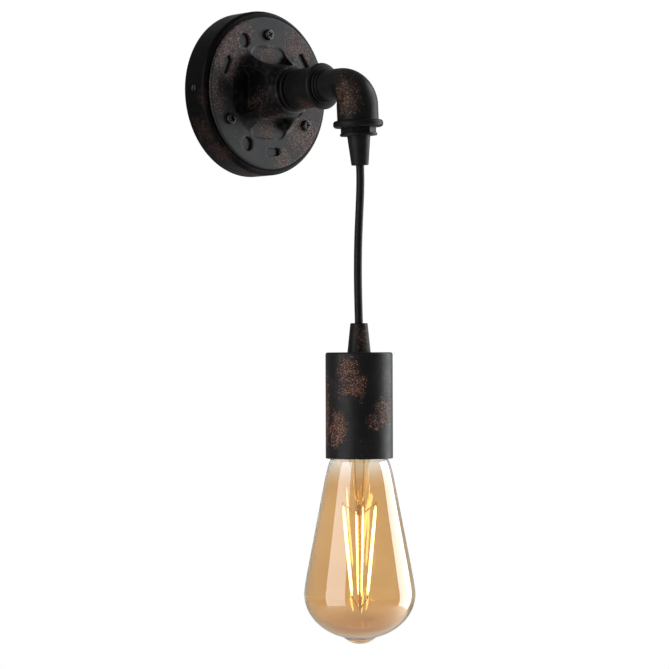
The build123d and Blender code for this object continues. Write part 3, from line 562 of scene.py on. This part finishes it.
def cord_line():
    """The cord's centreline, read from a smooth curve through the route's (x, z) points."""
    curve = bpy.data.curves.new("cord line", "CURVE")
    curve.dimensions = "3D"
    curve.resolution_u = 24
    spline = curve.splines.new("NURBS")
    spline.points.add(len(cord_route) - 1)
    for point, (x, z) in zip(spline.points, cord_route):
        point.co = (x * MM, cord_plane * MM, z * MM, 1.0)
    spline.order_u = 3
    spline.use_endpoint_u = True
    holder = bpy.data.objects.new("cord line", curve)
    line = bpy.data.meshes.new_from_object(holder)
    points = [v.co.copy() for v in line.vertices]
    bpy.data.objects.remove(holder)
    bpy.data.curves.remove(curve)
    bpy.data.meshes.remove(line)
    return points


def steps_round(count):
    """Even steps of a full turn."""
    return [math.tau * n / count for n in range(count)]


def joined_rings(name, rings, closed=False, sharp=40):
    """A closed mesh from rings of points; a ring of one point is a pole."""
    shape = bmesh.new()
    corners = [[shape.verts.new(point) for point in ring] for ring in rings]
    for low, high in zip(corners, corners[1:] + corners[:1] if closed else corners[1:]):
        for n in range(max(len(low), len(high))):
            face = [low[n % len(low)], low[(n + 1) % len(low)],
                    high[(n + 1) % len(high)], high[n % len(high)]]
            face = list(dict.fromkeys(face))
            if len(face) > 2:
                shape.faces.new(face)
    if not closed:
        for end in (corners[0], corners[-1]):
            if len(end) > 1:
                shape.faces.new(end)
    bmesh.ops.recalc_face_normals(shape, faces=shape.faces)
    mesh = bpy.data.meshes.new(name)
    shape.to_mesh(mesh)
    shape.free()
    mesh.shade_smooth()
    mesh.set_sharp_from_angle(angle=math.radians(sharp))
    return mesh


def cord_tube(name, line):
    """The round jacket along a stretch of the centreline."""
    rings = []
    for k, point in enumerate(line):
        along = (line[min(k + 1, len(line) - 1)] - line[max(k - 1, 0)]).normalized()
        side = along.cross(in_cord_plane).normalized()
        rings.append([point + cord_radius * (math.cos(t) * side + math.sin(t) * in_cord_plane)
                      for t in steps_round(48)])
    return joined_rings(name, rings)


def hung_cord(name, line, node):
    """A stretch of the cord's jacket along part of the centreline, in place of one CAD node."""
    mesh = cord_tube(name, line)
    mesh.materials.append(jacket)
    piece = in_scene(name, mesh)
    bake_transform(piece)
    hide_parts(node)


jacket = moulded("cord jacket", (0.0045, 0.0045, 0.0048), (0.0075, 0.0075, 0.0078), 0.42, scale=500.0)
jacket.node_tree.nodes["Principled BSDF"].inputs["Specular IOR Level"].default_value = 0.14
cord_points = cord_line()
split = min(range(len(cord_points)), key=lambda k: abs(cord_points[k].z - cord_split * MM))
hung_cord("cord_neck_flex", cord_points[:split + 1], "cord_upper")
hung_cord("cord_tail_flex", cord_points[split:], "cord_lower")
dressed(jacket, "inner_cord")

# ------------------------------------------------------------------ lower cord grip and cup
# A second cone holds the cord, and a pressed steel cup hangs below it with a folded lip.
# The cup shows the sponge best: three bright copper prints and a long one down its left.

lower_grip_paint = sponged_paint("lower grip paint", [
    ((1, -101, -150), 8, 1.6, 0.8),
], rust=ORANGE_RUST, paint=0.004)
dressed(lower_grip_paint, "lower_cord_grip")
cup_paint = sponged_paint("cup paint", [
    ((-16.5, -104.1, -166), 9, 1.0, 0.9),
    ((-14.0, -106.8, -176), 9, 1.1, 0.95),
    ((2.8, -114.5, -190.5), 9, 1.3, 0.95),
    ((-3.0, -114.0, -195.5), 7, 1.1, 0.6),
    ((-17.8, -97.2, -201), 8, 1.6, 1.0),
    ((-16, -86, -192), 5, 6.0, 0.75),
    ((1, -76, -180), 10, 1.2, 0.9),
    ((15, -84, -202), 8, 1.0, 0.9),
], everywhere=0.15, gloss=0.19, paint=0.0045, film=0.4)
dressed(cup_paint, "lampholder_cup")

# ------------------------------------------------------------------ lampholder inside the cup
# A phenolic lampholder on its own hollow nipple: a dome, an insert with the two terminal
# screws, and a skirt. A thin brass shell, rolled to the lamp's thread, and a brass contact
# in it take the lamp's cap.

phenolic = moulded("black phenolic", (0.012, 0.0115, 0.011), (0.018, 0.017, 0.016), 0.30)
dressed(zinc, "holder_nipple", "holder_washer", "holder_locknut")
dressed(phenolic, "holder_dome", "holder_insert", "holder_skirt")
dressed(brass, "holder_screw_live", "holder_screw_neutral", "socket_contact")

shell_low, shell_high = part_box("screw_shell")
lamp_axis = Vector(((shell_low.x + shell_high.x) / 2, (shell_low.y + shell_high.y) / 2, 0))
thread_pitch = 3.63 * MM
shell_hole = 9.0 * MM
shell_radius = 13.95 * MM
shell_wall = 0.4 * MM
shell_thread_depth = 0.42 * MM
shell_thread_low = shell_low.z + 1.5 * MM
shell_thread_high = shell_high.z - 2.0 * MM
shell_thread_runout = 1.5 * MM


def off_axis(radius, angle, height):
    """A point at a radius and an angle round the lamp's axis."""
    return lamp_axis + Vector((radius * math.cos(angle), radius * math.sin(angle), height))


def lamp_turned(name, outline, segments=192, sharp=60):
    """A solid turned about the lamp's axis from (radius, height) points."""
    smallest_ring = 1e-7
    rings = [[off_axis(radius, t, height) for t in steps_round(segments if radius > smallest_ring else 1)]
             for radius, height in outline]
    return joined_rings(name, rings, closed=True, sharp=sharp)


def down_a_wall(radius, top, bottom):
    """Points straight down a wall, close enough together to take a thread."""
    count = math.ceil((top - bottom) / (0.3 * MM))
    return [(radius, top + (bottom - top) * k / count) for k in range(count + 1)]


def rolled_thread_tree():
    """A round thread rolled into a turned wall of sheet metal, between two heights."""
    tree, given, result = geometry_tree("Rolled Thread", [
        ("Wall", "Geometry"), ("Centre", "Vector"), ("Pitch", "Float"), ("Depth", "Float"), ("Low", "Float"),
        ("High", "Float"), ("Runout", "Float"), ("Finish", "Material")], "Threaded")
    position = tree.nodes.new("GeometryNodeInputPosition").outputs[0]
    away = worked_vector(tree, "SUBTRACT", position, given["Centre"])
    x, y, z = made_node(tree, "ShaderNodeSeparateXYZ", Vector=away).outputs
    climb = worked(tree, "MULTIPLY", worked(tree, "DIVIDE", z, given["Pitch"]), math.tau)
    phase = worked(tree, "SUBTRACT", climb, worked(tree, "ARCTAN2", y, x))
    wave = worked(tree, "MULTIPLY", worked(tree, "SUBTRACT", worked(tree, "COSINE", phase), 1.0), 0.5)
    above = worked(tree, "DIVIDE", worked(tree, "SUBTRACT", z, given["Low"]), given["Runout"])
    below = worked(tree, "DIVIDE", worked(tree, "SUBTRACT", given["High"], z), given["Runout"])
    nearest_end = worked(tree, "MINIMUM", above, below)
    share = worked(tree, "MAXIMUM", worked(tree, "MINIMUM", nearest_end, 1.0), 0.0)
    sunk = worked(tree, "MULTIPLY", worked(tree, "MULTIPLY", wave, share), given["Depth"])
    level = made_node(tree, "ShaderNodeCombineXYZ", X=x, Y=y).outputs[0]
    outward = worked_vector(tree, "NORMALIZE", level)
    offset = worked_vector(tree, "SCALE", outward, Scale=sunk)
    shift = made_node(tree, "GeometryNodeSetPosition", Geometry=given["Wall"], Offset=offset)
    made_real(tree, shift.outputs[0], given["Finish"], result)
    return tree


rolled_thread = rolled_thread_tree()
shell_outline = [(shell_hole, shell_high.z)] + down_a_wall(shell_radius, shell_high.z, shell_low.z)
shell_outline += down_a_wall(shell_radius - shell_wall, shell_high.z - shell_wall, shell_low.z)[::-1]
shell_outline += [(shell_hole, shell_high.z - shell_wall)]
shell = by_nodes("threaded_shell", lamp_turned("shell", shell_outline, segments=144), rolled_thread,
                 Centre=lamp_axis, Pitch=thread_pitch, Depth=shell_thread_depth, Low=shell_thread_low,
                 High=shell_thread_high, Runout=shell_thread_runout, Finish=brass)
placed("threaded_shell", shell, "lamp_unit", "screw_shell")

# ------------------------------------------------------------------ lamp cap
# Nickel-plated brass with a thread rolled into it, a black glass insulator and a soldered
# centre contact. Its plain skirt is crimped and cemented round the neck of the glass.

nickel = metal("nickelled cap", (0.60, 0.57, 0.50), (0.50, 0.46, 0.38), 0.26)
cap_low, cap_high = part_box("bulb_cap")
cap_radius = 12.95 * MM
cap_wall = 0.35 * MM
cap_shoulder = cap_high.z - 1.6 * MM
cap_hole = 8.60 * MM
cap_hole_inside = 8.28 * MM
cap_rounding = 0.56 * MM
cap_rounding_inside = 0.31 * MM
cap_thread_depth = 0.85 * MM
cap_thread_low = cap_low.z + 6.3 * MM
cap_thread_high = cap_shoulder - 0.7 * MM
cap_thread_runout = 1.8 * MM


def bent(a, corner, b, steps):
    """Points of a curve from a to b that a corner pulls, without its last one."""
    shares = [k / steps for k in range(steps)]
    return [tuple((1 - t) ** 2 * a[n] + 2 * t * (1 - t) * corner[n] + t * t * b[n] for n in (0, 1))
            for t in shares]


def cap_side(hole, radius, rounding):
    """The cap's wall, from the hole in its top over the rounded shoulder down to its rim."""
    top, corner = Vector((hole, cap_high.z)), Vector((radius, cap_shoulder))
    slope_end = corner + (top - corner).normalized() * rounding
    wall_top = cap_shoulder - rounding
    return ([tuple(top)] + bent(slope_end, corner, (radius, wall_top), 6)
            + down_a_wall(radius, wall_top, cap_low.z))


cap_outline = cap_side(cap_hole, cap_radius, cap_rounding)
cap_outline += cap_side(cap_hole_inside, cap_radius - cap_wall, cap_rounding_inside)[::-1]
cap = by_nodes("threaded_cap", lamp_turned("cap", cap_outline, segments=144), rolled_thread,
               Centre=lamp_axis, Pitch=thread_pitch, Depth=cap_thread_depth, Low=cap_thread_low,
               High=cap_thread_high, Runout=cap_thread_runout, Finish=nickel)
placed("threaded_cap", cap, "bulb", "bulb_cap")
dressed(moulded("insulator glass", (0.008, 0.008, 0.010), (0.014, 0.013, 0.014), 0.12), "bulb_insulator")
dressed(metal("solder", (0.55, 0.55, 0.56), (0.42, 0.42, 0.43), 0.38), "bulb_contact")

# ------------------------------------------------------------------ lamp glass
# A pear-shaped bulb blown from thin glass and dipped in an amber lacquer that thins out
# towards the neck. A small round pip is left where it was sealed off.

glass_low, glass_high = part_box("bulb_glass")
glass_wall = 0.9 * MM
glass_radius = (glass_high.x - glass_low.x) / 2
belly = glass_low.z + 28.8 * MM
end_depth = 26.0 * MM
pip_radius = 9.4 * MM
neck_radius = 12.4 * MM
neck_end = glass_high.z - 6.0 * MM
flank_top = (20.3 * MM, neck_end - 18.2 * MM)
flank_bottom = (29.2 * MM, neck_end - 64.3 * MM)
shoulder_drop = 0.3 * MM
lacquer_thins_above = neck_end - 22 * MM
lacquer_ends = neck_end - 3 * MM
lacquer_pools_below = belly - 2 * MM
lacquer_deepest = glass_low.z + 6 * MM


def glass_side(inset):
    """The glass from inside the cap down to the belly, drawn in by an inset."""
    lean = (flank_bottom[0] - flank_top[0]) / (flank_top[1] - flank_bottom[1])
    corner_height = neck_end - shoulder_drop
    corner = (flank_top[0] - (corner_height - flank_top[1]) * lean - inset, corner_height)
    low_corner = (glass_radius - inset, flank_bottom[1] - (glass_radius - flank_bottom[0]) / lean)
    top, bottom = [(radius - inset, height) for radius, height in (flank_top, flank_bottom)]
    points = [(neck_radius - inset, glass_high.z)]
    points += bent((neck_radius - inset, neck_end), corner, top, 14)
    points += [tuple(top[n] + (bottom[n] - top[n]) * k / 10 for n in (0, 1)) for k in range(10)]
    return points + bent(bottom, low_corner, (glass_radius - inset, belly), 12)


def round_end(inset, last_radius):
    """The round end from the belly down to a radius."""
    radius, depth = glass_radius - inset, end_depth - inset
    turns = [math.acos(last_radius / radius) * k / 24 for k in range(25)]
    return [(radius * math.cos(t), belly - depth * math.sin(t)) for t in turns]


def pip_end():
    """The pip's round end, from its root down to its lowest point, on the lamp's axis."""
    root = belly - end_depth * math.sin(math.acos(pip_radius / glass_radius))
    drop = root - glass_low.z
    ball = (pip_radius ** 2 + drop ** 2) / (2 * drop)
    reach = math.asin(pip_radius / ball)
    turns = [reach * (1 - k / 10) for k in range(11)]
    return [(ball * math.sin(t), glass_low.z + ball * (1 - math.cos(t))) for t in turns]


def see_through(shader):
    """Makes a shader clear glass, with no haze of its own."""
    for label, value in (("Roughness", 0.0), ("IOR", 1.5), ("Transmission Weight", 1.0)):
        shader.inputs[label].default_value = value


def amber_lacquered_glass():
    """Clear glass under amber lacquer, which is deepest in the round end, with painted shade darkening the
    outline.
    """
    material, tree, shader, place = new_finish("amber-lacquered glass")
    height = made_node(tree, "ShaderNodeSeparateXYZ", Vector=place).outputs["Z"]
    thinning = eased(tree, height, lacquer_thins_above, lacquer_ends)
    runs = eased(tree, clouds(tree, place, 30.0, detail=2.0), 0.35, 0.65)
    amber = two_tone(tree, runs, (0.83, 0.62, 0.36), (0.78, 0.57, 0.32))
    pooled = eased(tree, height, lacquer_deepest, lacquer_pools_below, 1.0, 0.0)
    amber = two_tone(tree, pooled, amber, (0.59, 0.345, 0.095))
    tinted = two_tone(tree, thinning, amber, (0.89, 0.87, 0.84))
    # Painted shade: the colour darkens towards the outline, where the view grazes the glass.
    facing = made_node(tree, "ShaderNodeLayerWeight", Blend=0.25).outputs["Facing"]
    outline_shade = worked(tree, "MULTIPLY", worked(tree, "POWER", facing, 4.0), 0.6)
    outline_shade_tone = two_tone(tree, pooled, (0.46, 0.34, 0.22), (0.24, 0.12, 0.045))
    feed(tree, two_tone(tree, outline_shade, tinted, outline_shade_tone), shader.inputs["Base Color"])
    see_through(shader)
    for label, value in (("Specular IOR Level", 0.85), ("Coat Weight", 0.8),
                         ("Coat Roughness", 0.0), ("Coat IOR", 1.7)):
        shader.inputs[label].default_value = value
    return material


outline = glass_side(0) + round_end(0, pip_radius)[:-1] + pip_end()
outline += (glass_side(glass_wall) + round_end(glass_wall, 0))[::-1]
glass = lamp_turned("lamp_glass", outline)
glass.materials.append(amber_lacquered_glass())
placed("lamp_glass", glass, "bulb", "bulb_glass")

# ------------------------------------------------------------------ lamp cage
# Four lit sticks stand in a cage of brass-coloured wire, held by a metal tab at each end.
# The cage stands on a clear glass stem, drawn hollow, with two lead wires inside it.

stick_low, stick_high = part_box("filament_1")
stick_angle = math.radians(-32.0)
stick_top_radius = 9.8 * MM
stick_foot_radius = 4.4 * MM
stick_end_gap = 0.1 * MM


def lit(name, colour, strength):
    """A surface that glows in one slightly grained colour."""
    material, tree, shader, place = new_finish(name)
    grains = clouds(tree, place, 1500.0, detail=2.0)
    warm = two_tone(tree, grains, colour, tuple(min(1.0, 1.08 * c) for c in colour))
    feed(tree, warm, shader.inputs["Emission Color"])
    feed(tree, warm, shader.inputs["Base Color"])
    shader.inputs["Emission Strength"].default_value = strength
    return material


def oval_stick(name, wide, thin, low, high, steps=16):
    """A flat strip with rounded edges and ends, over a share of the line down the stick."""
    bluntness = 0.12
    top, bottom = stick_ends
    along = (bottom - top).normalized()
    outward = Vector((top.x - lamp_axis.x, top.y - lamp_axis.y, 0)).normalized()
    outward = (outward - outward.dot(along) * along).normalized()
    across = along.cross(outward)
    rings = []
    for k in range(steps + 1):
        share = low + (high - low) * k / steps
        swell = math.sin(math.pi * k / steps) ** bluntness if 0 < k < steps else 0.0
        centre = top + (bottom - top) * share
        rings.append([centre + swell * (wide * math.cos(t) * outward + thin * math.sin(t) * across)
                      for t in steps_round(24 if swell else 1)])
    return joined_rings(name, rings, sharp=50)


stick_ends = [off_axis(stick_top_radius, stick_angle, stick_high.z - stick_end_gap),
              off_axis(stick_foot_radius, stick_angle, stick_low.z + stick_end_gap)]
upright = Vector((0, 0, 1))
phosphor = lit("lit stick", (1.0, 0.76, 0.36), 9.0)
sticks = by_nodes("lit_sticks", oval_stick("stick", 0.88 * MM, 0.45 * MM, 0.035, 0.965), ring_of_copies,
                  Count=4, Centre=lamp_axis, Axis=upright, Finish=phosphor)
placed("lit_sticks", sticks, "bulb", *[f"filament_{k}" for k in (1, 2, 3, 4)])
mount_wire = metal("mount wire", (0.75, 0.55, 0.28), (0.65, 0.45, 0.20), 0.25)
for name, low_share, high_share in (("stick_tops", 0.0, 0.045), ("stick_feet", 0.955, 1.0)):
    tabs = by_nodes(name, oval_stick(name, 0.6 * MM, 0.3 * MM, low_share, high_share, steps=6),
                    ring_of_copies, Count=4, Centre=lamp_axis, Axis=upright, Finish=mount_wire)
    placed(name, tabs, "bulb")
dressed(mount_wire, "cage_frame")

stem_low, stem_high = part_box("bulb_stem")
stem_curve = [
    (11.3, 0.0), (8.6, 3.2), (6.6, 7.5), (4.8, 14.0), (4.5, 19.0), (4.2, 24.0), (3.3, 31.5), (2.4, 38.0)]
stem_bore = [
    (1.2, 33.0), (2.2, 30.0), (3.1, 24.0), (3.5, 19.0), (3.8, 14.0), (5.6, 7.5), (7.6, 3.2), (10.2, 0.0)]
stem_tip_radius = 1.5 * MM
stem_tip_rounding = 0.3 * MM
stem_bore_depth = 33.6 * MM


def clear_glass():
    """Clear glass with a slight warm cast and fine seeds in it."""
    material, tree, shader, place = new_finish("clear stem glass")
    seeds = clouds(tree, place, 500.0, detail=2.0)
    feed(tree, two_tone(tree, seeds, (0.95, 0.86, 0.66), (0.98, 0.92, 0.78)), shader.inputs["Base Color"])
    see_through(shader)
    uneven(tree, shader, seeds, 0.05 * MM)
    return material


def below_stem_top(points):
    """(radius, drop) points in millimetres, as radii and heights in metres."""
    return [(radius * MM, stem_high.z - drop * MM) for radius, drop in points]


stem_outline = below_stem_top(stem_curve)
stem_outline += [(stem_tip_radius, stem_low.z + stem_tip_rounding), (0.0, stem_low.z)]
stem_outline += [(0.0, stem_high.z - stem_bore_depth)]
stem_outline += below_stem_top(stem_bore)
stem = lamp_turned("glass_stem", stem_outline, segments=96, sharp=75)
stem.materials.append(clear_glass())
placed("glass_stem", stem, "bulb", "bulb_stem")

lead_radius = 0.32 * MM
lead_top = stem_high.z - 1 * MM
lead_pinch = stem_high.z - 29 * MM
lead_foot = stem_low.z + 1.5 * MM
lead_path = [(3.0, lead_top), (2.6, (lead_top + lead_pinch) / 2), (1.7, lead_pinch), (0.9, lead_foot)]
lead_rings = []
for off_centre, height in lead_path:
    centre = off_axis(off_centre * MM, stick_angle, height)
    lead_rings.append([centre + lead_radius * Vector((math.cos(t), math.sin(t), 0)) for t in steps_round(12)])
leads = by_nodes("lead_wires", joined_rings("lead_wire", lead_rings), ring_of_copies,
                 Count=2, Centre=lamp_axis, Axis=upright, Finish=mount_wire)
placed("lead_wires", leads, "bulb")

# ------------------------------------------------------------------ floor, light and camera
# A plain pale floor well below the light, two tall soft lights at its sides and a white
# room, seen from the left of the wall's centre and a little below the canopy.

middle = Vector((0.0, -0.075, -0.155))
floor_radius = 3.5
floor_top = -0.90
floor_thickness = 0.01
floor_glow = 0.62
light_distance = 1.3
room_light = 0.22
room_shine = 0.06
camera_place = Vector((-0.95646, -1.08227, -0.16252))
camera_aim = Vector((0.00805, -0.06766, -0.14583))
camera_roll = math.radians(-0.18)
camera_lens = 127.97


def background_rays(tree):
    """Two masks: rays that see the background straight or through glass, and mirrored rays."""
    rays = tree.nodes.new("ShaderNodeLightPath").outputs
    seen = worked(tree, "MAXIMUM", rays["Is Camera Ray"], rays["Is Transmission Ray"])
    return seen, rays["Is Glossy Ray"]


def pale_floor():
    """A matt pale floor, lifted to white where it is seen as the background."""
    material, tree, shader, place = new_finish("pale floor")
    speckle = clouds(tree, place, 90.0, detail=3.0)
    feed(tree, two_tone(tree, speckle, (0.80, 0.80, 0.80), (0.84, 0.84, 0.83)), shader.inputs["Base Color"])
    shader.inputs["Roughness"].default_value = 0.9
    shader.inputs["Specular IOR Level"].default_value = 0.1
    shader.inputs["Emission Color"].default_value = (1, 1, 1, 1)
    glow = worked(tree, "MULTIPLY", background_rays(tree)[0], floor_glow)
    feed(tree, glow, shader.inputs["Emission Strength"])
    return material


floor_mesh = joined_rings("floor", [
    [Vector((floor_radius * math.cos(t), floor_radius * math.sin(t), height)) for t in steps_round(96)]
    for height in (floor_top - floor_thickness, floor_top)])
floor_mesh.materials.append(pale_floor())
in_scene("floor", floor_mesh)

world = bpy.data.worlds.new("white room")
world.use_nodes = True
bpy.context.scene.world = world
room = world.node_tree
background = room.nodes["Background"]
background.inputs["Color"].default_value = (1, 1, 1, 1)
seen, mirrored = background_rays(room)
dim = worked(room, "ADD", worked(room, "MULTIPLY", mirrored, room_shine), room_light)
feed(room, worked(room, "MAXIMUM", seen, dim), background.inputs["Strength"])


def soft_light(name, bearing, low, high, spread, radiance, colour):
    """A tall soft light at a bearing in degrees, between two elevations seen from the object."""
    centre = math.radians((low + high) / 2)
    towards = Vector((math.cos(math.radians(bearing)) * math.cos(centre),
                      math.sin(math.radians(bearing)) * math.cos(centre), math.sin(centre)))
    lamp = bpy.data.lights.new(name, "AREA")
    lamp.shape = "RECTANGLE"
    lamp.size = 2 * light_distance * math.tan(math.radians(spread / 2))
    lamp.size_y = 2 * light_distance * math.tan(math.radians((high - low) / 2))
    lamp.energy = radiance * math.pi * lamp.size * lamp.size_y
    lamp.color = colour
    holder = in_scene(name, lamp)
    holder.location = middle + light_distance * towards
    holder.rotation_mode = "QUATERNION"
    holder.rotation_quaternion = (-towards).to_track_quat("-Z", "Y")
    holder.visible_camera = False
    holder.visible_transmission = False


soft_light("right soft light", bearing=-22, low=-31, high=48, spread=46,
           radiance=4.8, colour=(0.93, 0.97, 1.0))
soft_light("left soft light", bearing=174, low=-45, high=42, spread=44,
           radiance=2.9, colour=(0.96, 0.95, 1.0))

camera = in_scene("camera", bpy.data.cameras.new("camera"))
bpy.context.scene.camera = camera
camera.data.sensor_width = 36.0
camera.data.lens = camera_lens
camera.data.clip_start = 0.05
camera.data.clip_end = 100.0
camera.location = camera_place
camera.rotation_mode = "QUATERNION"
level = (camera_aim - camera_place).to_track_quat("-Z", "Y").to_matrix()
camera.rotation_quaternion = (level @ Matrix.Rotation(camera_roll, 3, "Z")).to_quaternion()
bpy.context.scene.view_settings.view_transform = "Standard"
